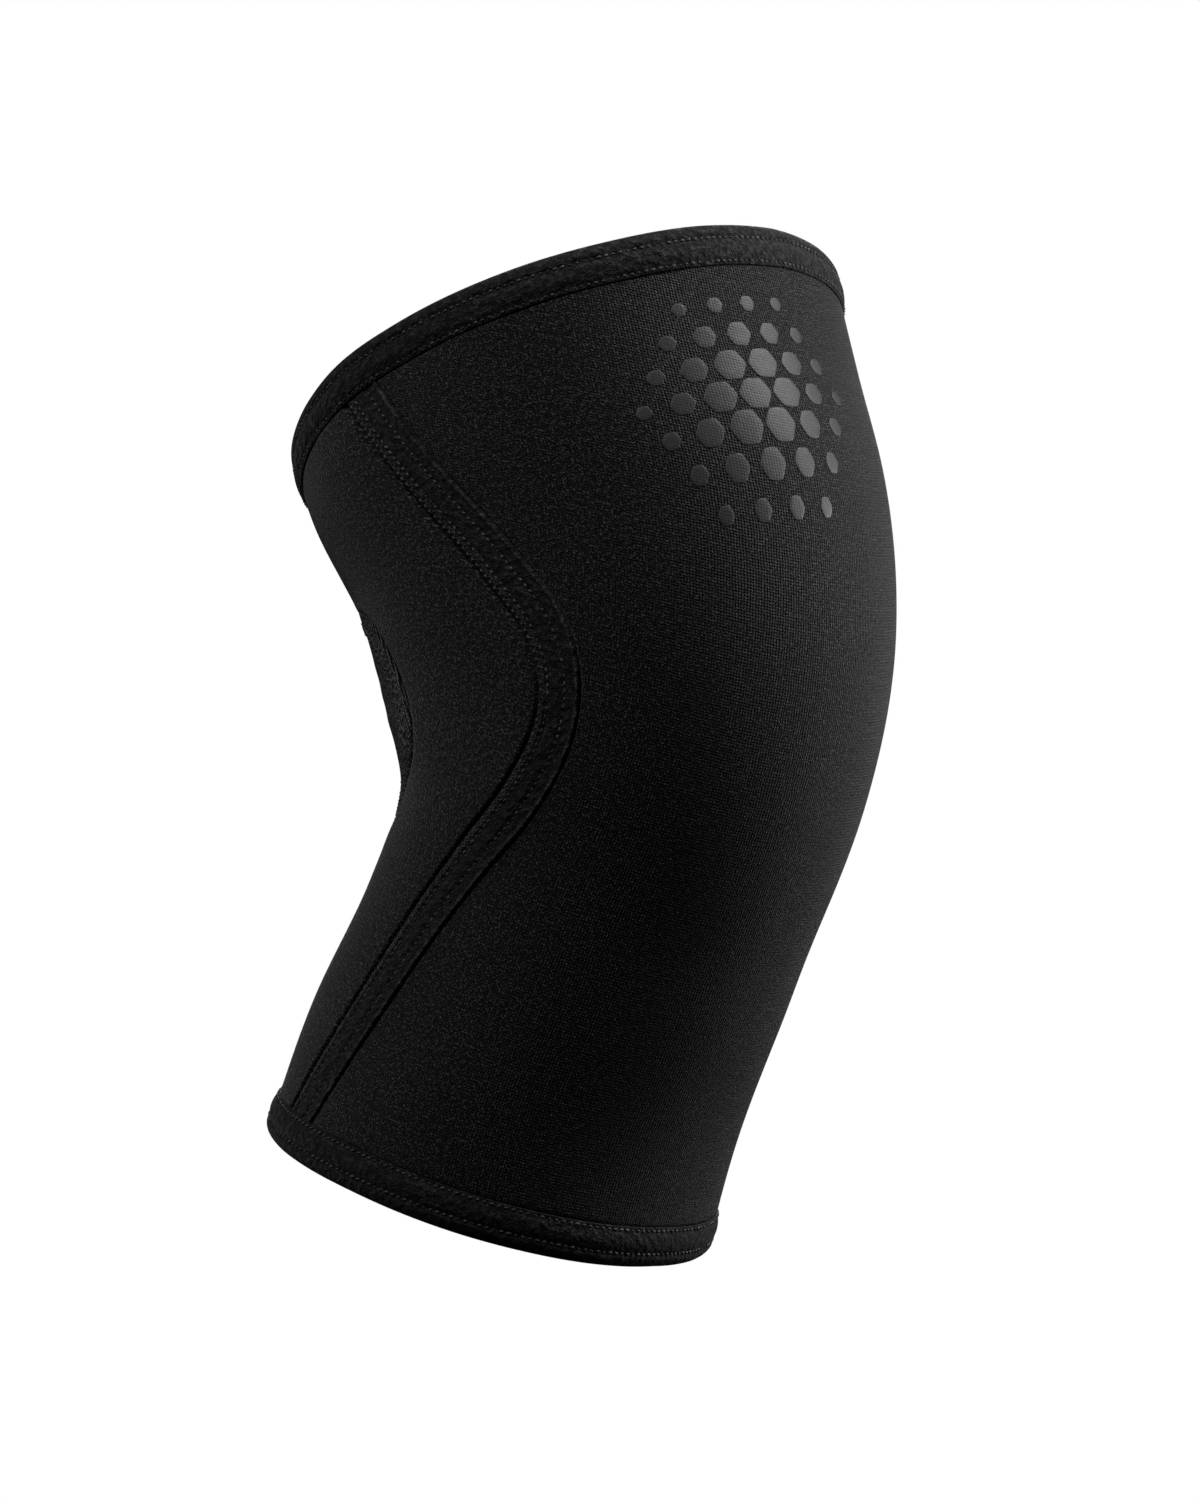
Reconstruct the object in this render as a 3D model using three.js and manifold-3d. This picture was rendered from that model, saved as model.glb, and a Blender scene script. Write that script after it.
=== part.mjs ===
// Knee sleeve: a bent tube of foam-backed knit cloth that is pulled over the knee, in the form it has when worn.
// It is a front panel and a back panel sewn edge to edge, a seam tape over each side seam, an oval insert
// behind the knee, and a folded binding round each rim.
// Millimetres. +Z runs up the leg, -Y is the kneecap side, and the origin is the centre of the knee.

import * as THREE from "three";
import { mergeVertices } from "three/addons/utils/BufferGeometryUtils.js";
import Module from "manifold-3d";

// The leg that the sleeve follows, along its centre line from the bottom rim to the top rim
const sleeveLength = 238;
const kneeHeight = 140;
const bendLength = 104;
const calfLean = THREE.MathUtils.degToRad(22.7);
const thighLean = THREE.MathUtils.degToRad(18.3);
const kneeDepth = 130;
const kneeWidth = 117;

// Cloth and tape
const wall = 5;
const clearance = 0.35;
const bindingThickness = 1.2;
const bindingWidth = 11.6;
const bindingInnerWidth = 9.5;
const bindingFold = 2.2;
const bindingSink = 0.5;
const bindingGrooveAt = 4.6;
const bindingGrooveDepth = 0.5;
const tapeThickness = 1.2;
const tapeWidth = 11.8;
const tapeSink = 1.5;
const rampLength = 1.6;

// Insert behind the knee
const insertThickness = 4.2;
const insertGap = 0.5;

// How round the sections are: 2 is an ellipse, and more is squarer
const frontFullness = 2.16;
const backFullness = 2.33;

// Outline of the leg. Front and back are shares of kneeDepth, and side of kneeWidth, from the centre line out.
const sections = [
  { along: 0.0, front: 0.455, back: 0.469, side: 0.493 },
  { along: 0.15, front: 0.444, back: 0.462, side: 0.478 },
  { along: 0.3, front: 0.465, back: 0.418, side: 0.462 },
  { along: 0.41, front: 0.477, back: 0.416, side: 0.463 },
  { along: 0.52, front: 0.509, back: 0.495, side: 0.497 },
  { along: 0.64, front: 0.555, back: 0.512, side: 0.536 },
  { along: 0.76, front: 0.583, back: 0.521, side: 0.57 },
  { along: 0.88, front: 0.576, back: 0.568, side: 0.606 },
  { along: 1.0, front: 0.583, back: 0.572, side: 0.612 },
];

// How far each rim lies above or below square to the leg, at each turn from the front: shares of sleeveLength
const rimLine = [
  { turn: 0, bottom: 0.014, top: 0.02 },
  { turn: 20, bottom: 0.013, top: 0.016 },
  { turn: 40, bottom: 0.011, top: 0.01 },
  { turn: 60, bottom: 0.007, top: 0.007 },
  { turn: 90, bottom: 0, top: 0.002 },
  { turn: 110, bottom: -0.005, top: -0.007 },
  { turn: 130, bottom: -0.009, top: -0.028 },
  { turn: 145, bottom: -0.012, top: -0.045 },
  { turn: 180, bottom: -0.014, top: -0.06 },
];

// Side seam: how far round from the front it lies, in degrees, at each share of the length
const seamLine = [
  { along: 0.0, turn: 122 },
  { along: 0.15, turn: 111.5 },
  { along: 0.3, turn: 100 },
  { along: 0.4, turn: 89.5 },
  { along: 0.48, turn: 78 },
  { along: 0.54, turn: 71.5 },
  { along: 0.59, turn: 70 },
  { along: 0.64, turn: 73 },
  { along: 0.7, turn: 80.5 },
  { along: 0.8, turn: 91 },
  { along: 0.9, turn: 99 },
  { along: 1.0, turn: 106 },
];

// Insert outline: at each turn away from the middle of the back, in degrees, its lower and upper edge
const insertOutline = [
  { turn: 0, low: 0.35, high: 0.835 },
  { turn: 20, low: 0.355, high: 0.825 },
  { turn: 36, low: 0.375, high: 0.795 },
  { turn: 48, low: 0.415, high: 0.757 },
  { turn: 54, low: 0.455, high: 0.69 },
  { turn: 58, low: 0.483, high: 0.615 },
  { turn: 60, low: 0.505, high: 0.555 },
];

// Seam tape across its width, from its rear edge to its folded front lip, as shares of its thickness
const tapeProfile = [
  { across: 0.0, top: 0.35 },
  { across: 0.1, top: 0.8 },
  { across: 0.25, top: 1.0 },
  { across: 0.5, top: 1.05 },
  { across: 0.7, top: 0.85 },
  { across: 0.87, top: 1.0 },
  { across: 0.95, top: 1.4 },
  { across: 1.0, top: 1.2 },
];

// Facets
const spineStep = 0.5;
const spineMargin = 60;
const bodyRows = 28;
const frontColumns = 18;
const backColumns = 13;
const rimArcSteps = 6;
const insertColumns = 22;
const insertRows = 10;
const cutterReach = 0.01 * kneeDepth;

// A smooth curve through one column of a table, read at any place. Each span is cubic, and its slopes come from
// the rows beside it.
function follow(table, key, column, at) {
  const last = table.length - 1;
  let i = 0;
  while (i < last - 1 && at > table[i + 1][key]) i += 1;
  const slopeAt = (k) => {
    const a = table[Math.max(k - 1, 0)];
    const b = table[Math.min(k + 1, last)];
    return (b[column] - a[column]) / (b[key] - a[key]);
  };
  const from = table[i];
  const to = table[i + 1];
  const span = to[key] - from[key];
  const t = (at - from[key]) / span;
  const t2 = t * t;
  const t3 = t2 * t;
  return (
    from[column] * (2 * t3 - 3 * t2 + 1) +
    slopeAt(i) * span * (t3 - 2 * t2 + t) +
    to[column] * (3 * t2 - 2 * t3) +
    slopeAt(i + 1) * span * (t3 - t2)
  );
}

// The leg's centre line lies in the YZ plane. It leans back below the knee and above it.
function leanAt(s) {
  const start = kneeHeight - bendLength / 2;
  const share = THREE.MathUtils.smoothstep(s, start, start + bendLength);
  return THREE.MathUtils.lerp(-calfLean, thighLean, share);
}

function walkSpine() {
  const points = [];
  let y = 0;
  let z = 0;
  for (let s = -spineMargin; s <= sleeveLength + spineMargin; s += spineStep) {
    points.push({ y, z });
    const lean = leanAt(s + spineStep / 2);
    y += Math.sin(lean) * spineStep;
    z += Math.cos(lean) * spineStep;
  }
  return points;
}

const spinePoints = walkSpine();

function spineRaw(s) {
  const place = THREE.MathUtils.clamp((s + spineMargin) / spineStep, 0, spinePoints.length - 1.001);
  const i = Math.floor(place);
  const share = place - i;
  return {
    y: THREE.MathUtils.lerp(spinePoints[i].y, spinePoints[i + 1].y, share),
    z: THREE.MathUtils.lerp(spinePoints[i].z, spinePoints[i + 1].z, share),
  };
}

const kneeCentre = spineRaw(kneeHeight);

// Where along the centre line a share of the sleeve's length lies, with both rims tilted
function alongSpine(angle, share) {
  const signed = THREE.MathUtils.euclideanModulo(angle + Math.PI, 2 * Math.PI) - Math.PI;
  const turn = Math.abs(THREE.MathUtils.radToDeg(signed));
  const low = follow(rimLine, "turn", "bottom", turn);
  const high = 1 + follow(rimLine, "turn", "top", turn);
  return sleeveLength * THREE.MathUtils.lerp(low, high, share);
}

// Distance from the centre line to the outside of the cloth, at an angle measured from the front
function sectionRadius(angle, s) {
  const along = s / sleeveLength;
  const facing = Math.cos(angle);
  const depth = kneeDepth * follow(sections, "along", facing > 0 ? "front" : "back", along);
  const width = kneeWidth * follow(sections, "along", "side", along);
  const fullness = facing > 0 ? frontFullness : backFullness;
  const sum = (Math.abs(facing) / depth) ** fullness + (Math.abs(Math.sin(angle)) / width) ** fullness;
  return sum ** (-1 / fullness);
}

function skinPoint(angle, share) {
  const s = alongSpine(angle, share);
  const radius = sectionRadius(angle, s);
  const centre = spineRaw(s);
  const lean = leanAt(s);
  const forward = radius * Math.cos(angle);
  return new THREE.Vector3(
    radius * Math.sin(angle),
    centre.y - kneeCentre.y - forward * Math.cos(lean),
    centre.z - kneeCentre.z + forward * Math.sin(lean),
  );
}

// A point off the outside of the cloth, square to it: positive is outwards
function offSkin(angle, share, offset) {
  const angleStep = 0.02;
  const shareStep = 0.004;
  const round = skinPoint(angle + angleStep, share).sub(skinPoint(angle - angleStep, share));
  const along = skinPoint(angle, share + shareStep).sub(skinPoint(angle, share - shareStep));
  const normal = round.cross(along).normalize();
  return skinPoint(angle, share).addScaledVector(normal, offset);
}

// A solid from points and four-sided facets. Each facet is split along its shorter diagonal, so that pieces that
// lie over each other are split alike.
function solidOf(points, facets) {
  const index = [];
  for (const [a, b, c, d] of facets) {
    const keepsFirst = points[a].distanceToSquared(points[c]) <= points[b].distanceToSquared(points[d]);
    if (keepsFirst) index.push(a, b, c, a, c, d);
    else index.push(a, b, d, b, c, d);
  }
  return geometryFrom(points.flatMap((point) => point.toArray()), index);
}

// A solid between two grids of points: pointAt(row, column, side) with side 0 outside and 1 inside
function gridSolid(rows, columns, pointAt) {
  const points = [];
  for (const side of [0, 1]) {
    for (let i = 0; i < rows; i += 1) {
      for (let j = 0; j < columns; j += 1) points.push(pointAt(i, j, side));
    }
  }
  const inside = rows * columns;
  const facets = [];
  const quad = (a, b, c, d) => facets.push([a, b, c, d]);
  for (let i = 0; i < rows - 1; i += 1) {
    for (let j = 0; j < columns - 1; j += 1) {
      const a = i * columns + j;
      quad(a, a + 1, a + columns + 1, a + columns);
      quad(inside + a, inside + a + columns, inside + a + columns + 1, inside + a + 1);
    }
  }
  for (let j = 0; j < columns - 1; j += 1) {
    const top = (rows - 1) * columns + j;
    quad(j, inside + j, inside + j + 1, j + 1);
    quad(top, top + 1, inside + top + 1, inside + top);
  }
  for (let i = 0; i < rows - 1; i += 1) {
    const left = i * columns;
    const right = left + columns - 1;
    quad(left, left + columns, inside + left + columns, inside + left);
    quad(right, inside + right, inside + right + columns, right + columns);
  }
  return solidOf(points, facets);
}

// A closed ring whose section is a closed loop of points: pointAt(step, k)
function ringSolid(steps, count, pointAt) {
  const points = [];
  const facets = [];
  for (let i = 0; i < steps; i += 1) {
    for (let k = 0; k < count; k += 1) points.push(pointAt(i, k));
  }
  for (let i = 0; i < steps; i += 1) {
    const here = i * count;
    const next = ((i + 1) % steps) * count;
    for (let k = 0; k < count; k += 1) {
      const after = (k + 1) % count;
      facets.push([here + k, next + k, next + after, here + after]);
    }
  }
  return solidOf(points, facets);
}

function geometryFrom(positions, index) {
  const geometry = new THREE.BufferGeometry();
  geometry.setAttribute("position", new THREE.Float32BufferAttribute(positions, 3));
  geometry.setIndex(index);
  return geometry;
}

// Rows from rim to rim. Under each binding the cloth is pressed thinner, and it swells again past the binding's edge.
const edgeRows = [
  { from: bindingFold + clearance, sink: bindingSink },
  { from: bindingWidth + clearance, sink: bindingSink },
  { from: bindingWidth + clearance + rampLength, sink: 0 },
];

function panelRows() {
  const low = edgeRows.map((row) => ({ share: row.from / sleeveLength, sink: row.sink }));
  const high = low.map((row) => ({ share: 1 - row.share, sink: row.sink })).reverse();
  const start = low.at(-1).share;
  const middle = [];
  for (let i = 1; i < bodyRows; i += 1) {
    middle.push({ share: THREE.MathUtils.lerp(start, 1 - start, i / bodyRows), sink: 0 });
  }
  return [...low, ...middle, ...high];
}

const rows = panelRows();

function seamAngle(share) {
  return THREE.MathUtils.degToRad(follow(seamLine, "along", "turn", share));
}

// The turn that spans a distance measured square to the seam, which crosses the sections at a slant
function turnAcrossSeam(share, distance) {
  const step = 0.01;
  const angle = seamAngle(share);
  const radius = sectionRadius(angle, alongSpine(angle, share));
  const slope = (radius * (seamAngle(share + step) - seamAngle(share - step))) / (2 * step * sleeveLength);
  return (distance * Math.hypot(1, slope)) / radius;
}

// Columns from one side seam to the other. The cloth is pressed thinner under each seam tape.
const seamColumns = [
  { from: clearance / 2, sink: tapeSink },
  { from: tapeWidth / 2 + clearance, sink: tapeSink },
  { from: tapeWidth / 2 + clearance + rampLength, sink: 0 },
];

const frontSpread = { middle: 0, halfTurn: seamAngle, columns: frontColumns };
const backSpread = { middle: Math.PI, halfTurn: (share) => Math.PI - seamAngle(share), columns: backColumns };

function columnsAcross(spread, share) {
  const edge = seamColumns.map(({ from, sink }) => ({
    turn: spread.halfTurn(share) - turnAcrossSeam(share, from),
    sink,
  }));
  const inner = edge.at(-1).turn;
  const left = edge.map(({ turn, sink }) => ({ angle: spread.middle - turn, sink }));
  const right = edge.map(({ turn, sink }) => ({ angle: spread.middle + turn, sink })).reverse();
  const middle = [];
  for (let j = 1; j < spread.columns; j += 1) {
    const turn = THREE.MathUtils.lerp(-inner, inner, j / spread.columns);
    middle.push({ angle: spread.middle + turn, sink: 0 });
  }
  return [...left, ...middle, ...right];
}

function panelSolid(spread) {
  const lines = rows.map((row) => columnsAcross(spread, row.share));
  return gridSolid(rows.length, lines[0].length, (i, j, side) => {
    const { share, sink } = rows[i];
    const { angle, sink: tapePress } = lines[i][j];
    return offSkin(angle, share, side === 0 ? -Math.max(sink, tapePress) : sink - wall);
  });
}

// The oval behind the knee, between two offsets from the skin, drawn in by a margin all round.
// Its columns lie closer together towards the ends, where its edges are steep.
function insertPatch(outer, inner, margin) {
  const widest = insertOutline.at(-1).turn;
  return gridSolid(insertRows + 1, insertColumns + 1, (i, j, side) => {
    const across = Math.sin((j / insertColumns - 0.5) * Math.PI);
    const turn = Math.abs(across) * widest;
    const low = follow(insertOutline, "turn", "low", turn);
    const high = follow(insertOutline, "turn", "high", turn);
    const marginShare = margin / sleeveLength;
    const share = THREE.MathUtils.lerp(low + marginShare, high - marginShare, i / insertRows);
    const angle = Math.PI + THREE.MathUtils.degToRad(across * widest);
    const radius = sectionRadius(angle, alongSpine(angle, share));
    const drawnIn = angle - (across * margin) / radius;
    return offSkin(drawnIn, share, side === 0 ? outer : inner);
  });
}

const insertOuter = insertThickness - wall;

// Side of the seam tape's strip: 1 for the +X seam and -1 for the -X seam
function seamTape(side) {
  const taped = rows.filter((row) => {
    const start = edgeRows[1].from / sleeveLength;
    return row.share >= start && row.share <= 1 - start;
  });
  const under = clearance - tapeSink;
  return gridSolid(taped.length, tapeProfile.length, (i, j, face) => {
    const { share } = taped[i];
    const column = side > 0 ? tapeProfile.length - 1 - j : j;
    const { across, top } = tapeProfile[column];
    const turn = seamAngle(share) - turnAcrossSeam(share, (across - 0.5) * tapeWidth);
    return offSkin(side * turn, share, face === 0 ? under + top * tapeThickness : under);
  });
}

// Section of a binding, folded over a rim: from is the distance in from the rim, and out the offset from the skin
function bindingSection() {
  const proud = bindingThickness + clearance - bindingSink;
  const roll = (wall + 2 * proud) / 2;
  const underOuter = clearance - bindingSink;
  const underInner = bindingSink - clearance - wall;
  const points = [
    { from: bindingWidth, out: underOuter },
    { from: bindingWidth, out: proud / 2 },
    { from: bindingWidth - bindingThickness, out: proud },
    { from: bindingGrooveAt + bindingThickness, out: proud },
    { from: bindingGrooveAt, out: proud - bindingGrooveDepth },
  ];
  for (let k = 0; k <= rimArcSteps; k += 1) {
    const turn = (Math.PI * k) / rimArcSteps;
    points.push({ from: roll * (1 - Math.sin(turn)), out: proud - roll + roll * Math.cos(turn) });
  }
  points.push(
    { from: bindingInnerWidth - bindingThickness, out: -wall - proud },
    { from: bindingInnerWidth, out: -wall - proud / 2 },
    { from: bindingInnerWidth, out: underInner },
    { from: bindingFold, out: underInner },
    { from: bindingFold, out: underOuter },
  );
  return points;
}

// Each binding is faceted at the same angles as the panels' rims, so that it lies evenly over them
function binding(atTop) {
  const section = bindingSection();
  if (!atTop) section.reverse();
  const strands = section.map(({ from, out }) => {
    const share = atTop ? 1 - from / sleeveLength : from / sleeveLength;
    const around = [...columnsAcross(frontSpread, share), ...columnsAcross(backSpread, share).slice(1, -1)];
    return around.map(({ angle }) => offSkin(angle, share, out));
  });
  return ringSolid(strands[0].length, section.length, (i, k) => strands[k][i]);
}

const wasm = await Module();
wasm.setup();

function toSolid(geometry) {
  const merged = mergeVertices(geometry);
  return new wasm.Manifold(
    new wasm.Mesh({
      numProp: 3,
      vertProperties: merged.attributes.position.array,
      triVerts: new Uint32Array(merged.index.array),
    }),
  );
}

function toGeometry(solid) {
  const mesh = solid.getMesh();
  return geometryFrom(Array.from(mesh.vertProperties), Array.from(mesh.triVerts));
}

function backPanel() {
  const cutter = insertPatch(cutterReach, -wall - cutterReach, 0);
  return toGeometry(toSolid(panelSolid(backSpread)).subtract(toSolid(cutter)));
}

function insertPanel() {
  return insertPatch(insertOuter, -wall, insertGap);
}

// Cloths: knit over foam for the panels, a smoother stretch knit for tapes and bindings, a softer one for the insert
const panelCloth = { color: 0x17171a, roughness: 0.9, metalness: 0 };
const bandCloth = { color: 0x121214, roughness: 0.82, metalness: 0 };
const insertCloth = { color: 0x1f1f22, roughness: 0.92, metalness: 0 };

function piece(name, geometry, cloth) {
  const mesh = new THREE.Mesh(geometry, new THREE.MeshStandardMaterial(cloth));
  geometry.computeVertexNormals();
  mesh.name = name;
  return mesh;
}

const sleeve = new THREE.Group();
sleeve.add(
  piece("front_panel", panelSolid(frontSpread), panelCloth),
  piece("back_panel", backPanel(), panelCloth),
  piece("knee_hollow_insert", insertPanel(), insertCloth),
  piece("seam_tape_left", seamTape(1), bandCloth),
  piece("seam_tape_right", seamTape(-1), bandCloth),
  piece("top_binding", binding(true), bandCloth),
  piece("bottom_binding", binding(false), bandCloth),
);

export default sleeve;
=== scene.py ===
# A knee sleeve: a bent tube of foam-backed knit cloth, in the form that it has on a leg.
# Metres. +Z runs up the leg, -Y is the kneecap side, and the origin is the centre of the knee.
import math

import bpy
import numpy as np
from mathutils import Matrix, Vector


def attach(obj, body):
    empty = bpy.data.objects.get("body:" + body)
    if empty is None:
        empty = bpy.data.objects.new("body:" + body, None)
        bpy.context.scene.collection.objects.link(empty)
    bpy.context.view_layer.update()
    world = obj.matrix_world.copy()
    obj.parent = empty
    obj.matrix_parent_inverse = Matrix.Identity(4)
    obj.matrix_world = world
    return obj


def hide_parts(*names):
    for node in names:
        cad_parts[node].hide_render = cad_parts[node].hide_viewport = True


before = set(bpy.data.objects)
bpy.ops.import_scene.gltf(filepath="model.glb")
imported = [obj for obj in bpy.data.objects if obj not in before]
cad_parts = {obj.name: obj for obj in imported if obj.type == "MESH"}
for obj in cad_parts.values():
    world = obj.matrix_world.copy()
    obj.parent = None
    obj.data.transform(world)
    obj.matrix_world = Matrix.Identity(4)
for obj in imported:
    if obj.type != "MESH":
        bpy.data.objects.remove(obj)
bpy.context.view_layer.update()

# Front panel: one piece of knit cloth laminated to 5 mm foam, cut to wrap the shin, kneecap and thigh.
# It is sewn to the back panel along both sides, and its cloth is drawn in where a tape or binding holds it.
mm = 0.001
sleeve_length = 238 * mm
knee_height = 140 * mm
bend_length = 104 * mm
calf_lean = math.radians(22.7)
thigh_lean = math.radians(18.3)
knee_depth = 130 * mm
knee_width = 117 * mm
front_fullness = 2.16
back_fullness = 2.33
wall = 5 * mm
mean_radius = 60 * mm

# Outline of the leg at each share of the length: its front and back are shares of the knee's depth, and
# its side is a share of the knee's width
section_along, section_front, section_back, section_side = np.array([
    (0.0, 0.455, 0.469, 0.493),
    (0.15, 0.444, 0.462, 0.478),
    (0.3, 0.465, 0.418, 0.462),
    (0.41, 0.477, 0.416, 0.463),
    (0.52, 0.509, 0.495, 0.497),
    (0.64, 0.555, 0.512, 0.536),
    (0.76, 0.583, 0.521, 0.57),
    (0.88, 0.576, 0.568, 0.606),
    (1.0, 0.583, 0.572, 0.612),
]).T

# Degrees from the front, and how far each rim lies above square to the leg there, in shares of the length
rim_turn, rim_bottom, rim_top = np.array([
    (0, 0.014, 0.02),
    (20, 0.013, 0.016),
    (40, 0.011, 0.01),
    (60, 0.007, 0.007),
    (90, 0.0, 0.002),
    (110, -0.005, -0.007),
    (130, -0.009, -0.028),
    (145, -0.012, -0.045),
    (180, -0.014, -0.06),
]).T

# Side seam: a share of the length, and how far round from the front it lies there, in degrees
seam_along, seam_turn = np.array([
    (0.0, 122),
    (0.15, 111.5),
    (0.3, 100),
    (0.4, 89.5),
    (0.48, 78),
    (0.54, 71.5),
    (0.59, 70),
    (0.64, 73),
    (0.7, 80.5),
    (0.8, 91),
    (0.9, 99),
    (1.0, 106),
]).T


def follow(keys, values, at):
    """A smooth curve through the values at their keys, read at any places."""
    before = np.maximum(np.arange(len(keys)) - 1, 0)
    after = np.minimum(np.arange(len(keys)) + 1, len(keys) - 1)
    slopes = (values[after] - values[before]) / (keys[after] - keys[before])
    i = np.clip(np.searchsorted(keys, at) - 1, 0, len(keys) - 2)
    span = keys[i + 1] - keys[i]
    t = (at - keys[i]) / span
    start = values[i] * (2 * t**3 - 3 * t**2 + 1) + slopes[i] * span * (t**3 - 2 * t**2 + t)
    end = values[i + 1] * (3 * t**2 - 2 * t**3) + slopes[i + 1] * span * (t**3 - t**2)
    return start + end


def ease(value, low, high):
    """0 below low, 1 above high, and a smooth step between them."""
    t = np.clip((value - low) / (high - low), 0, 1)
    return t * t * (3 - 2 * t)


def lerp(low, high, share):
    return low + (high - low) * share


def lean_at(s):
    start = knee_height - bend_length / 2
    return lerp(-calf_lean, thigh_lean, ease(s, start, start + bend_length))


# The leg's centre line, walked in short steps past both rims
spine_step = 0.5 * mm
spine_margin = 60 * mm
spine_s = np.arange(-spine_margin, sleeve_length + spine_margin + spine_step / 2, spine_step)
step_lean = lean_at(spine_s + spine_step / 2)
spine_y = np.concatenate([[0], np.cumsum(np.sin(step_lean))[:-1] * spine_step])
spine_z = np.concatenate([[0], np.cumsum(np.cos(step_lean))[:-1] * spine_step])
spine_y -= np.interp(knee_height, spine_s, spine_y)
spine_z -= np.interp(knee_height, spine_s, spine_z)


def along_spine(angle, share):
    turn = np.abs(np.degrees((angle + math.pi) % (2 * math.pi) - math.pi))
    low = follow(rim_turn, rim_bottom, turn)
    high = 1 + follow(rim_turn, rim_top, turn)
    return sleeve_length * lerp(low, high, share)


def section_radius(angle, s):
    facing = np.cos(angle)
    along = s / sleeve_length
    front = follow(section_along, section_front, along)
    back = follow(section_along, section_back, along)
    depth = knee_depth * np.where(facing > 0, front, back)
    width = knee_width * follow(section_along, section_side, along)
    fullness = np.where(facing > 0, front_fullness, back_fullness)
    total = (np.abs(facing) / depth) ** fullness + (np.abs(np.sin(angle)) / width) ** fullness
    return total ** (-1 / fullness)


def skin(angle, share):
    """The outside of the cloth, at an angle from the front and a share of the sleeve's length."""
    s = along_spine(angle, share)
    radius = section_radius(angle, s)
    lean = lean_at(s)
    forward = radius * np.cos(angle)
    y = np.interp(s, spine_s, spine_y) - forward * np.cos(lean)
    z = np.interp(s, spine_s, spine_z) + forward * np.sin(lean)
    return np.stack([radius * np.sin(angle), y, z], axis=-1)


turn_nudge = 0.02
share_nudge = 0.004
seam_nudge = 0.01


def outward(angle, share):
    """The direction square to the cloth, out from the leg."""
    around = skin(angle + turn_nudge, share) - skin(angle - turn_nudge, share)
    along = skin(angle, share + share_nudge) - skin(angle, share - share_nudge)
    normal = np.cross(around, along)
    return normal / np.linalg.norm(normal, axis=-1, keepdims=True)


def off_skin(angle, share, offset):
    offset = np.broadcast_to(offset, np.broadcast(angle, share, offset).shape)
    return skin(angle, share) + outward(angle, share) * offset[..., None]


def seam_angle(share):
    return np.radians(follow(seam_along, seam_turn, share))


def turn_per_metre(share):
    """The turn that spans a metre measured square to the seam, which crosses the sections at a slant."""
    angle = seam_angle(share)
    radius = section_radius(angle, along_spine(angle, share))
    turned = seam_angle(share + seam_nudge) - seam_angle(share - seam_nudge)
    slope = radius * turned / (2 * seam_nudge * sleeve_length)
    return np.hypot(1, slope) / radius


def unevenness(across, along, coarse):
    """Slow irregular swells of the cloth on the leg, between -1 and 1. Coarse is their usual length."""
    x = across / coarse
    y = along / coarse
    waves = np.sin(5.1 * x + 1.3 * np.sin(3.7 * y)) + np.sin(4.3 * y + 1.7 * np.sin(2.9 * x) + 2)
    finer = np.sin(9.7 * x - 6.1 * y + 0.7) * np.sin(7.9 * y + 4.4 * x)
    return (waves + finer) / 3


# Cloth under a binding or a tape is pressed thinner, and it swells again past the edge
binding_width = 11.6 * mm
tape_width = 11.8 * mm
ramp_length = 0.9 * mm
binding_sink = 0.5 * mm
tape_sink = 1.5 * mm
front_groove = -0.15 * mm
back_groove = 0.2 * mm
lining_fold = 12 * mm
lining_free = 13.5 * mm
pucker_depth = 0.3 * mm
pucker_reach = 7 * mm
pucker_stretch = 0.3
rim_pucker_share = 0.6
seam_pucker_length = 26 * mm
rim_pucker_length = 24 * mm
swell_depth = 0.25 * mm
swell_length = 150 * mm


def slow_swell(angle, share):
    """The slow rise and fall of the cloth over the whole sleeve."""
    return swell_depth * unevenness(angle * mean_radius, share * sleeve_length, swell_length)


def pressed(angle, share, from_seam, from_rim, groove):
    """How far the cloth's face lies off the leg's outline.

    It begins to rise a groove's width past a tape's edge.
    """
    tape_edge = tape_width / 2 + groove
    binding_edge = binding_width + front_groove
    under_tape = tape_sink * (1 - ease(from_seam, tape_edge, tape_edge + ramp_length))
    under_binding = binding_sink * (1 - ease(from_rim, binding_edge, binding_edge + ramp_length))
    around = angle * mean_radius
    along = share * sleeve_length
    seam_gather = unevenness(pucker_stretch * around, along, seam_pucker_length)
    rim_gather = unevenness(around, pucker_stretch * along, rim_pucker_length)
    by_tape = np.exp(-np.maximum(from_seam - tape_edge, 0) / pucker_reach)
    by_rim = np.exp(-np.maximum(from_rim - binding_edge, 0) / pucker_reach)
    puckers = pucker_depth * (seam_gather * by_tape + rim_pucker_share * rim_gather * by_rim)
    past_tape = under_tape < tape_sink
    return puckers * past_tape + slow_swell(angle, share) - np.maximum(under_tape, under_binding)


def lining_height(from_rim):
    """The cloth's back, off the leg's outline. Under a binding it is pressed nearer to the face."""
    return binding_sink * (1 - ease(from_rim, lining_fold, lining_free)) - wall


def stations(edge_places, end, count):
    """Places from one edge to the other: close together by each edge, and even between them."""
    edge = np.array(edge_places)
    middle = np.linspace(edge[-1], end - edge[-1], count)[1:-1]
    return np.concatenate([edge, middle, end - edge[::-1]])


# Rows and columns of the mesh by a rim and by a seam, in millimetres from it
rim_places = [2.55, 6, 9.5, 11.2, 11.45, 11.6, 11.75, 11.95, 12.15, 12.6, 13.9, 15.3]
front_seam_places = [0.175, 3, 5.2, 5.7, 5.85, 6.0, 6.15, 6.35, 6.6, 6.9, 8.0, 9.6]
back_seam_places = [0.175, 3, 5.4, 6.0, 6.2, 6.4, 6.55, 6.75, 7.0, 7.4, 8.3, 9.6]
body_rows = 180
front_columns = 140


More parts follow.
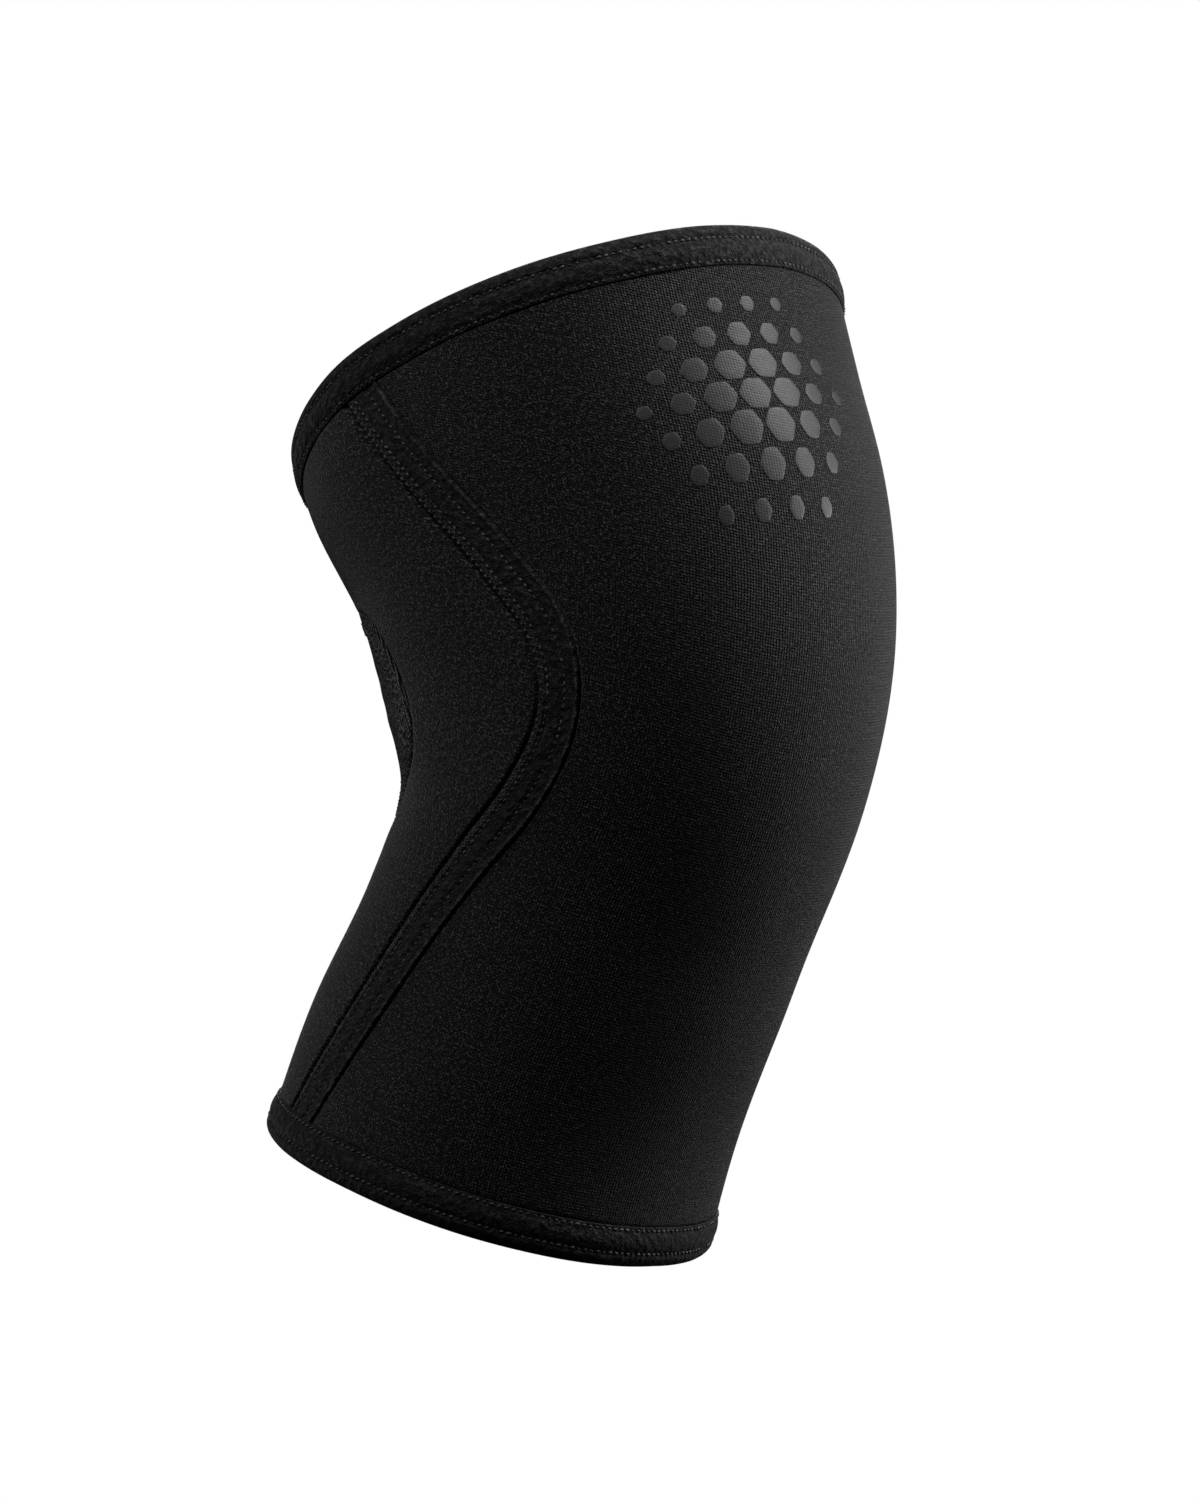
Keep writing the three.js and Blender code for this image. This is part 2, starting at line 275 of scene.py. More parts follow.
def hang_cloth(mesh, uv, corners, material):
    """An object of a finished mesh: smooth, with its material, and a UV map in metres of cloth."""
    layer = mesh.uv_layers.new(name="Cloth")
    layer.data.foreach_set("uv", uv[corners].astype(np.float32).reshape(-1))
    mesh.shade_smooth()
    mesh.materials.append(material)
    piece = bpy.data.objects.new(mesh.name, mesh)
    bpy.context.scene.collection.objects.link(piece)
    return piece


def mesh_piece(name, points, uv, faces, corners, material):
    """A piece from its points and four-sided faces. Corners says which UV place each face corner has."""
    mesh = bpy.data.meshes.new(name)
    mesh.from_pydata(points.tolist(), [], faces.tolist())
    piece = hang_cloth(mesh, uv, corners.reshape(-1), material)
    mesh.validate()
    return piece


def quads(rows, columns, wide):
    """Faces of a grid of points: rows by columns of faces, on a grid that is wide points wide."""
    i, j = np.meshgrid(np.arange(rows), np.arange(columns), indexing="ij")
    a = i * wide + j
    return np.stack([a, a + 1, a + wide + 1, a + wide], axis=-1).reshape(-1, 4)


def slab_piece(name, outer, inner, uv, material):
    """A closed slab between two grids of points, one on the cloth's face and one on its back."""
    rows, columns = outer.shape[:2]
    count = rows * columns
    face = quads(rows - 1, columns - 1, columns)
    back = face[:, ::-1] + count
    bottom = np.arange(columns - 1)
    top = bottom + (rows - 1) * columns
    left = np.arange(rows - 1) * columns
    right = left + columns - 1
    edges = [
        np.stack([bottom, bottom + count, bottom + 1 + count, bottom + 1], axis=-1),
        np.stack([top, top + 1, top + 1 + count, top + count], axis=-1),
        np.stack([left, left + columns, left + columns + count, left + count], axis=-1),
        np.stack([right, right + count, right + columns + count, right + columns], axis=-1),
    ]
    faces = np.concatenate([face, back, *edges])
    points = np.concatenate([outer.reshape(-1, 3), inner.reshape(-1, 3)])
    cloth_uv = np.concatenate([uv.reshape(-1, 2), uv.reshape(-1, 2)])
    return mesh_piece(name, points, cloth_uv, faces, faces, material)


class Sock:
    """A socket of a node tree. Arithmetic on it adds Math nodes."""

    def __init__(self, tree, socket):
        self.tree = tree
        self.socket = socket

    def __add__(self, other):
        return self.tree.maths("ADD", self, other)

    def __radd__(self, other):
        return self.tree.maths("ADD", other, self)

    def __sub__(self, other):
        return self.tree.maths("SUBTRACT", self, other)

    def __rsub__(self, other):
        return self.tree.maths("SUBTRACT", other, self)

    def __mul__(self, other):
        return self.tree.maths("MULTIPLY", self, other)

    def __rmul__(self, other):
        return self.tree.maths("MULTIPLY", other, self)


class Tree:
    """A node tree of a material, or of Geometry Nodes, and the one way that nodes are added to it."""

    def __init__(self, nodes):
        self.nodes = nodes
        nodes.nodes.clear()

    def node(self, kind, settings=None, inputs=None, output=0):
        made = self.nodes.nodes.new(kind)
        for key, value in (settings or {}).items():
            if key == "stops":
                self.set_stops(made.color_ramp, value)
            else:
                setattr(made, key, value)
        for key, value in (inputs or {}).items():
            if isinstance(value, Sock):
                self.nodes.links.new(value.socket, made.inputs[key])
            else:
                made.inputs[key].default_value = value
        return Sock(self, made.outputs[output]) if made.outputs else None

    def set_stops(self, ramp, stops):
        while len(ramp.elements) < len(stops):
            ramp.elements.new(0.5)
        for element, (place, value) in zip(ramp.elements, stops):
            element.position = place
            element.color = (value, value, value, 1)

    def maths(self, operation, *values):
        return self.node("ShaderNodeMath", {"operation": operation}, dict(enumerate(values)))

    def wave(self, place, length):
        """A cosine wave of the given length, between -1 and 1."""
        return self.maths("COSINE", place * (2 * math.pi / length))

    def between(self, share, low, high):
        """A colour between two others."""
        return self.node("ShaderNodeMix", {"data_type": "RGBA"}, {0: share, 6: low, 7: high}, output=2)

    def ramp(self, stops, value):
        return self.node("ShaderNodeValToRGB", {"stops": stops}, {0: value})

    def relief(self, height, depth, strength=1.0):
        inputs = {"Strength": strength, "Distance": depth, "Height": height}
        return self.node("ShaderNodeBump", inputs=inputs)

    def surface(self, colour, roughness, shine=0.5, normal=None, sheen=0.0, glow=0.0):
        """One Principled shader as the surface of the material. Sheen is that of a cloth's nap."""
        inputs = {
            "Base Color": colour,
            "Roughness": roughness,
            "Specular IOR Level": shine,
            "Sheen Weight": sheen,
            "Sheen Roughness": 0.4,
            "Sheen Tint": grey(0.8),
            "Emission Color": grey(1),
            "Emission Strength": glow,
        }
        if normal:
            inputs["Normal"] = normal
        shader = self.node("ShaderNodeBsdfPrincipled", inputs=inputs)
        self.node("ShaderNodeOutputMaterial", inputs={0: shader})


def new_finish(name):
    material = bpy.data.materials.new(name)
    material.use_nodes = True
    return material, Tree(material.node_tree)


def cloth_places(tree):
    """Where a point lies on its cloth: the place, metres across the knit, and metres along it."""
    place = tree.node("ShaderNodeUVMap", {"uv_map": "Cloth"})
    across = tree.node("ShaderNodeSeparateXYZ", inputs={0: place})
    along = tree.node("ShaderNodeSeparateXYZ", inputs={0: place}, output=1)
    return place, across, along


def speckle(tree, place, size, detail=2.0):
    """Irregular grain between 0 and 1, of about the given size in metres."""
    settings = {"noise_dimensions": "3D"}
    return tree.node("ShaderNodeTexNoise", settings, {"Vector": place, "Scale": 1 / size, "Detail": detail})


def grey(value):
    return (value, value, value, 1)


wander_length = 5 * mm
patch_length = 30 * mm
tight_to = 35 * mm
slack_from = 80 * mm
slack_share = 0.4
# Near-black: the black of cut foam, made darker as painted shade of the groove round the insert
foam_and_groove_shade_black = grey(0.0006)


def knit_finish(name, wale, course, dark, light, bump, rib=0.0, loops_show=1.0):
    """Jersey knit: columns of loops one wale wide and one course high, under a fuzz of fine irregular grain.

    The loops show best along the panel's middle, where the cloth is stretched most. Where the mesh has an
    attribute named foam, the knit gives way to near-black: the black foam of a cut edge, and painted shade
    of the groove at the insert's seam.
    """
    material, tree = new_finish(name)
    place, across, along = cloth_places(tree)
    wander = speckle(tree, place, wander_length)
    stray = speckle(tree, place, 1.6 * wale)
    across_wale = across + (wander - 0.5) * wale
    along_course = along + (stray - 0.5) * (0.45 * course)
    column = tree.wave(across_wale, wale)
    slant = tree.maths("PINGPONG", across_wale, wale / 2) * 0.9
    loops = tree.wave(along_course + slant, course)
    stretch = tree.node(
        "ShaderNodeMapRange",
        {"interpolation_type": "SMOOTHSTEP"},
        {
            "Value": tree.maths("ABSOLUTE", across),
            "From Min": tight_to,
            "From Max": slack_from,
            "To Min": loops_show,
            "To Max": slack_share * loops_show,
        },
    )
    ripple = (column + loops) * stretch
    grain = speckle(tree, place, 0.75 * wale, 1.0)
    fleck = speckle(tree, place, 1.9 * wale)
    patch = speckle(tree, place, patch_length, 3.0)
    mixed = grain * 0.7 + fleck * 0.25 + patch * 0.05 + ripple * 0.048
    tone = tree.ramp([(0.44, 0.0), (0.54, 0.16), (0.66, 1.0)], mixed)
    knit = tree.between(tone, (dark, dark, dark * 1.04, 1), (light, light, light * 1.02, 1))
    # Near-black where the foam attribute is set: cut foam and painted shade of the groove
    foam = tree.node("ShaderNodeAttribute", {"attribute_name": "foam"}, output=2)
    height = ripple * 0.42 + column * rib + grain * 1.2 + fleck * 0.7
    colour = tree.between(foam, knit, foam_and_groove_shade_black)
    tree.surface(colour, 0.88 - 0.25 * tone, 0.25, tree.relief(height, bump), sheen=0.3)
    return material


panel_knit = knit_finish("panel_knit", 0.8 * mm, 0.78 * mm, 0.0015, 0.105, 0.3 * mm)

rows = stations([place * mm for place in rim_places], sleeve_length, body_rows) / sleeve_length
from_rim = np.minimum(rows, 1 - rows)[:, None] * sleeve_length


def front_grid():
    share = rows[:, None]
    per_metre = turn_per_metre(share)
    edge = seam_angle(share) - per_metre * np.array(front_seam_places)[None, :] * mm
    inner = edge[:, -1:]
    middle = lerp(-inner, inner, np.linspace(0, 1, front_columns)[None, 1:-1])
    angle = np.concatenate([-edge, middle, edge[:, ::-1]], axis=1)
    from_seam = (seam_angle(share) - np.abs(angle)) / per_metre
    return angle, np.broadcast_to(share, angle.shape), from_seam


measured_turn = 2.5
measured_columns = 251
measured_past = 0.03
measured_rows = 107


def cloth_lengths(middle):
    """Places on a panel's cloth as lengths across and along its face, from the middle line of the panel."""
    turns = middle + np.linspace(-measured_turn, measured_turn, measured_columns)
    shares = np.linspace(-measured_past, 1 + measured_past, measured_rows)
    grid = skin(turns[None, :], shares[:, None])
    across = np.linalg.norm(np.diff(grid, axis=1), axis=-1).cumsum(axis=1)
    along = np.linalg.norm(np.diff(grid, axis=0), axis=-1).cumsum(axis=0)
    across = np.pad(across, ((0, 0), (1, 0)))
    along = np.pad(along, ((1, 0), (0, 0)))
    middle_line = measured_columns // 2
    across -= across[:, middle_line : middle_line + 1]
    lengths = np.stack([across, along], axis=-1)

    def at(angle, share):
        i = np.clip((share - shares[0]) / (shares[1] - shares[0]), 0, len(shares) - 1.001)
        j = np.clip((angle - turns[0]) / (turns[1] - turns[0]), 0, len(turns) - 1.001)
        i0, j0 = i.astype(int), j.astype(int)
        up, aside = (i - i0)[..., None], (j - j0)[..., None]
        low = lerp(lengths[i0, j0], lengths[i0, j0 + 1], aside)
        high = lerp(lengths[i0 + 1, j0], lengths[i0 + 1, j0 + 1], aside)
        return lerp(low, high, up)

    return at


front_uv = cloth_lengths(0.0)
front_angle, front_share, front_from_seam = front_grid()
front_face = pressed(front_angle, front_share, front_from_seam, from_rim, front_groove)
front_panel = slab_piece(
    "front_panel_cloth",
    off_skin(front_angle, front_share, front_face),
    off_skin(front_angle, front_share, lining_height(from_rim)),
    front_uv(front_angle, front_share),
    panel_knit,
)
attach(front_panel, "root")
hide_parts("front_panel")

# Back panel: the same cloth, from the back of the calf to the back of the thigh, sewn to the front panel
# at both sides. An oval is cut out of it behind the knee, and stitches roll the cut edge down. Its mesh
# runs out from the oval to the seams and rims.

# The oval's outline: degrees from the middle of the back, and its low and high edge in shares of the length
outline_turn, outline_low, outline_high = np.array([
    (0, 0.35, 0.835),
    (20, 0.355, 0.825),
    (36, 0.375, 0.795),
    (48, 0.415, 0.757),
    (54, 0.455, 0.69),
    (58, 0.483, 0.615),
    (60, 0.505, 0.555),
]).T
outline_end = outline_turn[-1]
oval_centre = 0.545
oval_steps = 480
ray_halvings = 40
corner_rays = 5
oval_ray = np.arange(oval_steps) / oval_steps * 2 * math.pi


def ray_end(is_inside):
    """How far each ray from the oval's centre goes before it leaves an area, in metres of cloth."""
    near = np.zeros(oval_steps)
    far = np.full(oval_steps, 2 * sleeve_length)
    for _ in range(ray_halvings):
        middle = (near + far) / 2
        inside = is_inside(*ray_place(middle))
        near = np.where(inside, middle, near)
        far = np.where(inside, far, middle)
    return near


def ray_place(reach):
    """Turn from the middle of the back, and share of the length, at a reach along each ray."""
    shape = (oval_steps,) + (1,) * (np.ndim(reach) - 1)
    turn = reach * np.cos(oval_ray).reshape(shape) / mean_radius
    share = oval_centre + reach * np.sin(oval_ray).reshape(shape) / sleeve_length
    return turn, share


def in_oval(turn, share):
    degrees = np.degrees(np.abs(turn))
    held = np.minimum(degrees, outline_end)
    low = follow(outline_turn, outline_low, held)
    high = follow(outline_turn, outline_high, held)
    return (degrees < outline_end) & (share > low) & (share < high)


def in_panel(inset_seam, inset_rim):
    def is_inside(turn, share):
        held = np.clip(share, 0, 1)
        half = math.pi - seam_angle(held) - turn_per_metre(held) * inset_seam
        rim = inset_rim / sleeve_length
        return (np.abs(turn) < half) & (share > rim) & (share < 1 - rim)

    return is_inside


def rounded(reach, spread):
    """The same outline with its corners rounded, by averaging over neighbouring rays."""
    total = reach * 0
    for shift in range(-spread, spread + 1):
        total += np.roll(reach, shift)
    return total / (2 * spread + 1)


oval_reach = rounded(rounded(ray_end(in_oval), corner_rays), corner_rays)
back_knit = knit_finish("back_knit", 0.8 * mm, 0.78 * mm, 0.0015, 0.115, 0.33 * mm, loops_show=0.35)
flush_share = 0.1
back_columns = 62
back_inner_columns = 30
rolled_edge = [(0.0, -2.6), (0.05, -2.0), (0.2, -1.5), (0.6, -0.75), (1.2, -0.28), (2.0, -0.06)]

# How far the oval's edge is drawn in, round it: not at its top, most at its sides, and half of that below
ray_height = np.sin(oval_ray)
drawn_in = (1 - ease(ray_height, 0.0, 0.85)) * (1 - 0.5 * ease(-ray_height, 0.1, 0.7))


def edge_drops(profile, cut_row):
    """The fall of a cut edge at each of its rows and along each ray. Its cut side is as deep everywhere."""
    drops = np.array([drop for _, drop in profile])[None, :] * mm
    drops = drops * lerp(flush_share, 1, drawn_in)[:, None]
    drops[:, cut_row] = profile[cut_row][1] * mm
    return drops


outer_reach = [ray_end(in_panel(seam * mm, rim * mm)) for seam, rim in zip(back_seam_places, rim_places)]
outer_reach = np.stack(outer_reach[::-1], axis=-1)
cut_reach = oval_reach[:, None] + np.array([place for place, _ in rolled_edge])[None, :] * mm
between = np.linspace(0, 1, back_columns)[None, 1:-1]
face_reach = np.concatenate(
    [cut_reach, lerp(cut_reach[:, -1:], outer_reach[:, :1], between), outer_reach], axis=1
)
lining_reach = lerp(outer_reach[:, -1:], oval_reach[:, None], np.linspace(0, 1, back_inner_columns)[None, :])


def back_place(reach):
    """Angle, share, and distances from the nearer side seam and rim, at a reach along each ray."""
    turn, share = ray_place(reach)
    held = np.clip(share, 0, 1)
    from_seam = (math.pi - seam_angle(held) - np.abs(turn)) / turn_per_metre(held)
    return math.pi + turn, share, from_seam, np.minimum(share, 1 - share) * sleeve_length


def loop_faces(steps, count):
    """Faces of closed loops of points joined in a ring, and the same faces on an open UV grid."""
    i, k = np.meshgrid(np.arange(steps), np.arange(count), indexing="ij")
    next_i = (i + 1) % steps
    next_k = (k + 1) % count
    faces = [i * count + k, next_i * count + k, next_i * count + next_k, i * count + next_k]
    wide = count + 1
    corners = [i * wide + k, (i + 1) * wide + k, (i + 1) * wide + k + 1, i * wide + k + 1]
    return np.stack(faces, axis=-1).reshape(-1, 4), np.stack(corners, axis=-1).reshape(-1, 4)


def ring_piece(name, points, uv, material, turned=False):
    """A closed ring of closed loops: points is steps by count, and uv one more each way."""
    steps, count = points.shape[:2]
    faces, corners = loop_faces(steps, count)
    if turned:
        faces = faces[:, ::-1]
        corners = corners[:, ::-1]
    return mesh_piece(name, points.reshape(-1, 3), uv.reshape(-1, 2), faces, corners, material)


def closed_uv(uv):
    """A loop's UV grid with its first row and column repeated at the end."""
    uv = np.concatenate([uv, uv[:1]], axis=0)
    return np.concatenate([uv, uv[:, :1]], axis=1)


back_uv = cloth_lengths(math.pi)
face_angle, face_share, face_from_seam, face_from_rim = back_place(face_reach)
face_offset = pressed(face_angle, face_share, face_from_seam, face_from_rim, back_groove)
face_offset[:, : len(rolled_edge)] += edge_drops(rolled_edge, 0)
lining_angle, lining_share, _, lining_from_rim = back_place(lining_reach)
lining_offset = lining_height(lining_from_rim)
back_angle = np.concatenate([face_angle, lining_angle], axis=1)
back_share = np.concatenate([face_share, lining_share], axis=1)
back_offset = np.concatenate([face_offset, lining_offset], axis=1)
back_panel = ring_piece(
    "back_panel_cloth",
    off_skin(back_angle, back_share, back_offset),
    closed_uv(back_uv(back_angle, back_share)),
    back_knit,
    turned=True,
)
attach(back_panel, "root")
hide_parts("back_panel")

# Insert behind the knee: an oval of softer rib knit, a little thinner than the panel that it is sewn into.
# It is level with the panel at its top. Elsewhere its edge is drawn in, and the cut is near-black: black
# foam, with painted shade of the groove between insert and panel.
insert_gap = lerp(0.06, 0.4, drawn_in) * mm
insert_depth = lerp(0.03, 1.0, drawn_in) * mm
insert_edge = [(3.6, 0.0), (2.3, -0.2), (1.6, -0.75), (0.12, -1.9), (0.0, -2.4)]
# Rows of the insert's edge coloured near-black: cut foam and painted shade of the groove
edge_foam_and_shade = [0.0, 0.0, 1.0, 1.0, 1.0]
insert_rings = 44
insert_lining_rings = 16
fold_depth = 0.35 * mm
fold_stretch = 0.25
fold_length = 34 * mm
insert_knit = knit_finish("insert_rib_knit", 1.3 * mm, 0.9 * mm, 0.006, 0.19, 0.3 * mm, rib=0.7)


def face_corners(mesh):
    """The point at each corner of each face."""
    return np.array([corner.vertex_index for corner in mesh.loops])


def insert_piece():
    rim_reach = oval_reach - insert_gap
    edge_in = np.array([place for place, _ in insert_edge]) * mm
    shares = np.linspace(0, 1, insert_rings)[1:-1]
    face = (rim_reach - edge_in[0])[:, None] * shares[None, :]
    edge = rim_reach[:, None] - edge_in[None, :]
    lining = rim_reach[:, None] * np.linspace(1, 0, insert_lining_rings)[None, 1:-1]
    turn, share = ray_place(np.concatenate([face, edge, lining], axis=1))
    angle = math.pi + turn
    folds = fold_depth * unevenness(fold_stretch * angle * mean_radius, share * sleeve_length, fold_length)
    middle_depth = insert_depth.mean()
    face_offset = folds[:, : face.shape[1]] * (1 - shares[None, :] ** 4)
    face_offset -= lerp(middle_depth, insert_depth[:, None], shares[None, :] ** 3)
    edge_offset = edge_drops(insert_edge, -1) - insert_depth[:, None]
    offset = np.concatenate([face_offset, edge_offset, np.full(lining.shape, -wall)], axis=1)
    points = off_skin(angle, share, offset)
    middle = np.full(2, math.pi), np.full(2, oval_centre)
    poles = off_skin(*middle, np.array([-middle_depth, -wall]))
    steps, count = points.shape[:2]
    i, k = np.meshgrid(np.arange(steps), np.arange(count - 1), indexing="ij")
    here, ahead = i * count + k, (i + 1) % steps * count + k
    bands = np.stack([here, here + 1, ahead + 1, ahead], axis=-1).reshape(-1, 4)
    outer_pole = steps * count
    ring = np.arange(steps) * count
    next_ring = np.roll(ring, -1)
    outer_fan = np.stack([np.full(steps, outer_pole), ring, next_ring], axis=-1)
    inner_fan = np.stack([np.full(steps, outer_pole + 1), next_ring + count - 1, ring + count - 1], axis=-1)
    mesh = bpy.data.meshes.new("knee_hollow_insert_cloth")
    points_and_poles = np.concatenate([points.reshape(-1, 3), poles])
    mesh.from_pydata(points_and_poles.tolist(), [], bands.tolist() + outer_fan.tolist() + inner_fan.tolist())
    # The near-black rows, cut foam and painted shade of the groove, go into the foam attribute
    foam = np.zeros(len(points_and_poles), np.float32)
    edge_rows = slice(face.shape[1], face.shape[1] + len(edge_foam_and_shade))
    foam[:outer_pole].reshape(steps, count)[:, edge_rows] = edge_foam_and_shade
    mesh.attributes.new("foam", "FLOAT", "POINT").data.foreach_set("value", foam)
    uv = np.concatenate([back_uv(angle, share).reshape(-1, 2), back_uv(*middle)])
    return hang_cloth(mesh, uv, face_corners(mesh), insert_knit)


insert = insert_piece()
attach(insert, "root")
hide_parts("knee_hollow_insert")

# Seam tapes: a narrow folded strip of smooth stretch tricot over each side seam, stitched down in rows.
# Its rear edge lies in a groove, it swells between the rows, and its front edge is a raised folded lip.
# A painted highlight runs along the lip.

# Distance in from the tape's rear edge, and height off the leg's outline, in millimetres
tape_place, tape_top = np.array([
    (0.0, -1.0),
    (0.3, -0.35),
    (1.0, -0.2),
    (2.0, 0.3),
    (3.1, -0.1),
    (4.2, 0.22),
    (6.0, 0.3),
    (7.3, 0.15),
    (7.9, -0.12),
    (8.6, 0.12),
    (9.9, 0.12),
    (10.7, 0.3),
    (11.25, 0.8),
    (11.65, 0.6),
    (11.8, 0.0),
]).T
tape_clearance = 0.35 * mm
tape_under = tape_clearance - tape_sink
tape_tuck = 8 * mm
tape_rows = 300
tape_under_columns = 5
tape_pucker = 0.12 * mm
tape_pucker_stretch = 0.2
tape_pucker_length = 20 * mm
tape_flat = -0.35 * mm
tape_fade = 1 * mm
band_dark = (0.002, 0.002, 0.0021, 1)
band_light = (0.052, 0.052, 0.053, 1)
# Colour and width of the painted highlight along the tape's folded lip
band_lip_highlight = (0.16, 0.16, 0.161, 1)
lip_highlight_width = 0.55 * mm


def band_finish(name, fold=-1.0):
    """Smooth tricot: fine ribs under a soft nap, crumpled by its stitches, and a painted highlight along a
    fold.
    """
    material, tree = new_finish(name)
    place, across, along = cloth_places(tree)
    rib = tree.wave(across + along * 0.35, 0.55 * mm)
    cross_rib = tree.wave(along, 0.6 * mm)
    grain = speckle(tree, place, 0.6 * mm, 1.0)
    crumple = speckle(tree, place, 1.8 * mm)
    height = rib * 0.1 + cross_rib * 0.08 + grain * 0.9 + crumple * 5.5
    tone = tree.ramp([(0.42, 0.0), (0.54, 0.25), (0.68, 1.0)], grain * 0.45 + crumple * 0.55)
    # Painted highlight: the colour is made paler in a narrow strip along the fold, where the lip catches the
    # light
    from_fold = tree.maths("ABSOLUTE", across - fold) * (1 / lip_highlight_width)
    lip_highlight = tree.maths("MAXIMUM", 1 - from_fold, 0.0) * tone
    colour = tree.between(lip_highlight, tree.between(tone, band_dark, band_light), band_lip_highlight)
    tree.surface(colour, 0.55 + 0.25 * (1 - tone), 0.3, tree.relief(height, 0.2 * mm), sheen=0.12)
    return material


# The tape's tricot gets a painted highlight along its folded lip
tape_tricot = band_finish("tape_tricot", fold=11.35 * mm)


def across_tape(share, across):
    """Angle of a line along the tape, a distance in from its rear edge."""
    return seam_angle(share) - turn_per_metre(share) * (across - tape_width / 2)


def tape_height(share, across):
    """The tape's face, off the leg's outline. It is flattened where it runs under a binding."""
    top = follow(tape_place, tape_top, across / mm) * mm
    along = share * sleeve_length
    gather = unevenness(tape_pucker_stretch * across, along, tape_pucker_length)
    puckered = top + tape_pucker * gather * np.sin(math.pi * np.clip(across / tape_width, 0, 1))
    from_rim = np.minimum(share, 1 - share) * sleeve_length
    shows = ease(from_rim, binding_width - tape_fade, binding_width + tape_fade)
    return lerp(np.minimum(puckered, tape_flat), puckered, shows)


def tape_piece(name, side):
    low = (binding_width - tape_tuck) / sleeve_length
    share = np.linspace(low, 1 - low, tape_rows)[:, None]
    places = tape_place * mm
    halves = np.linspace(0, len(places) - 1, 2 * len(places) - 1)
    top_places = np.interp(halves, np.arange(len(places)), places)
    under_places = np.linspace(places[-1], places[0], tape_under_columns)
    across = np.concatenate([top_places, under_places])[None, :]
    height = tape_height(share, across)
    height[:, len(top_places) :] = tape_under
    angle = side * across_tape(share, across)
    points = off_skin(angle, np.broadcast_to(share, angle.shape), height)
    steps, count = points.shape[:2]
    faces, _ = loop_faces(steps, count)
    faces = faces.reshape(steps, count, 4)[:-1].reshape(-1, 4)
    if side < 0:
        faces = faces[:, ::-1]
    start = list(range(count))
    end = [(steps - 1) * count + k for k in range(count)]
    caps = [start[::-1], end] if side < 0 else [start, end[::-1]]
    mesh = bpy.data.meshes.new(name)
    mesh.from_pydata(points.reshape(-1, 3).tolist(), [], faces.tolist() + caps)
    along = np.broadcast_to(share * sleeve_length, angle.shape)
    uv = np.stack([np.broadcast_to(across, angle.shape), along], axis=-1).reshape(-1, 2)
    piece = hang_cloth(mesh, uv, face_corners(mesh), tape_tricot)
    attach(piece, "root")
    return piece


tape_left = tape_piece("seam_tape_left_cloth", 1)
tape_right = tape_piece("seam_tape_right_cloth", -1)
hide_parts("seam_tape_left")
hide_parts("seam_tape_right")

# Bindings: a strip of the same tricot folded over each rim and sewn through in two rows, outside and inside.
# The foam under it makes two soft rolls, with a groove at each row of stitches.
# Profiles are distances in from the rim and heights off the cloth's face, in millimetres.
binding_profile = [
    (11.5, -0.12), (11.75, 0.1), (11.6, 0.35), (11.2, 0.48), (10.85, 0.35),
    (10.4, 0.62), (9.6, 0.98), (8.4, 1.3), (7.0, 1.4), (5.7, 1.2), (4.95, 0.9),
    (4.55, 0.7), (4.1, 0.9), (3.3, 1.15),
]
binding_lining = [
    (3.4, -6.05), (4.2, -5.7), (4.55, -5.4), (5.0, -5.7), (6.2, -6.15), (7.6, -6.0),
    (8.0, -5.65), (8.4, -5.95), (9.2, -5.9), (9.5, -5.4), (9.45, -4.85),
    (2.2, -4.85), (2.2, -0.12),
]
binding_steps = 440
roll_radius = 3.55
roll_top = 1.05
roll_steps = 9
lump_height = 0.12 * mm
lump_length = 30 * mm
tape_rise = 0.35 * mm
tape_rise_reach = 8 * mm
lift_fade = 2 * mm
binding_tricot = band_finish("binding_tricot")


def binding_section():
    """The profile round the folded strip, with its corners cut, in metres."""
    turns = np.linspace(0, math.pi, roll_steps)[1:-1]
    centre = roll_top - roll_radius
    roll = [(roll_radius * (1 - math.sin(turn)), centre + roll_radius * math.cos(turn)) for turn in turns]
    corners = np.array(binding_profile + roll + binding_lining)
    following = np.roll(corners, -1, axis=0)
    cut = np.stack([lerp(corners, following, 0.25), lerp(corners, following, 0.75)], axis=1)
    return cut.reshape(-1, 2) * mm


def rim_share(at_top, inward):
    return 1 - inward / sleeve_length if at_top else inward / sleeve_length


def binding_lift(angle, at_top, outside):
    """The strip's soft lumps, and the rise where it passes over a seam tape."""
    seam_at_rim = float(seam_angle(np.array(rim_share(at_top, binding_width))))
    over_tape = np.exp(-(((np.abs(angle) - seam_at_rim) * mean_radius / tape_rise_reach) ** 2))
    lumps = lump_height * unevenness(angle * mean_radius, 0, lump_length)
    return (lumps + tape_rise * over_tape) * outside


def binding_piece(name, at_top):
    section = binding_section()
    inward, height = section[None, :, 0], section[None, :, 1]
    angle = (np.arange(binding_steps) / binding_steps * 2 * math.pi - math.pi)[:, None]
    offset = height + binding_lift(angle, at_top, ease(height, -lift_fade, 0))
    angle = np.broadcast_to(angle, offset.shape)
    share = np.broadcast_to(rim_share(at_top, inward), offset.shape)
    steps_along = np.linalg.norm(np.diff(section, axis=0, append=section[:1]), axis=1)
    section_place = np.concatenate([[0], np.cumsum(steps_along)])
    around = np.arange(binding_steps + 1) / binding_steps * 2 * math.pi * mean_radius
    uv = np.stack(np.meshgrid(around, section_place, indexing="ij"), axis=-1)
    piece = ring_piece(name, off_skin(angle, share, offset), uv, binding_tricot, turned=not at_top)
    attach(piece, "root")
    return piece


top_binding = binding_piece("top_binding_cloth", True)
bottom_binding = binding_piece("bottom_binding_cloth", False)
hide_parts("top_binding")
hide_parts("bottom_binding")

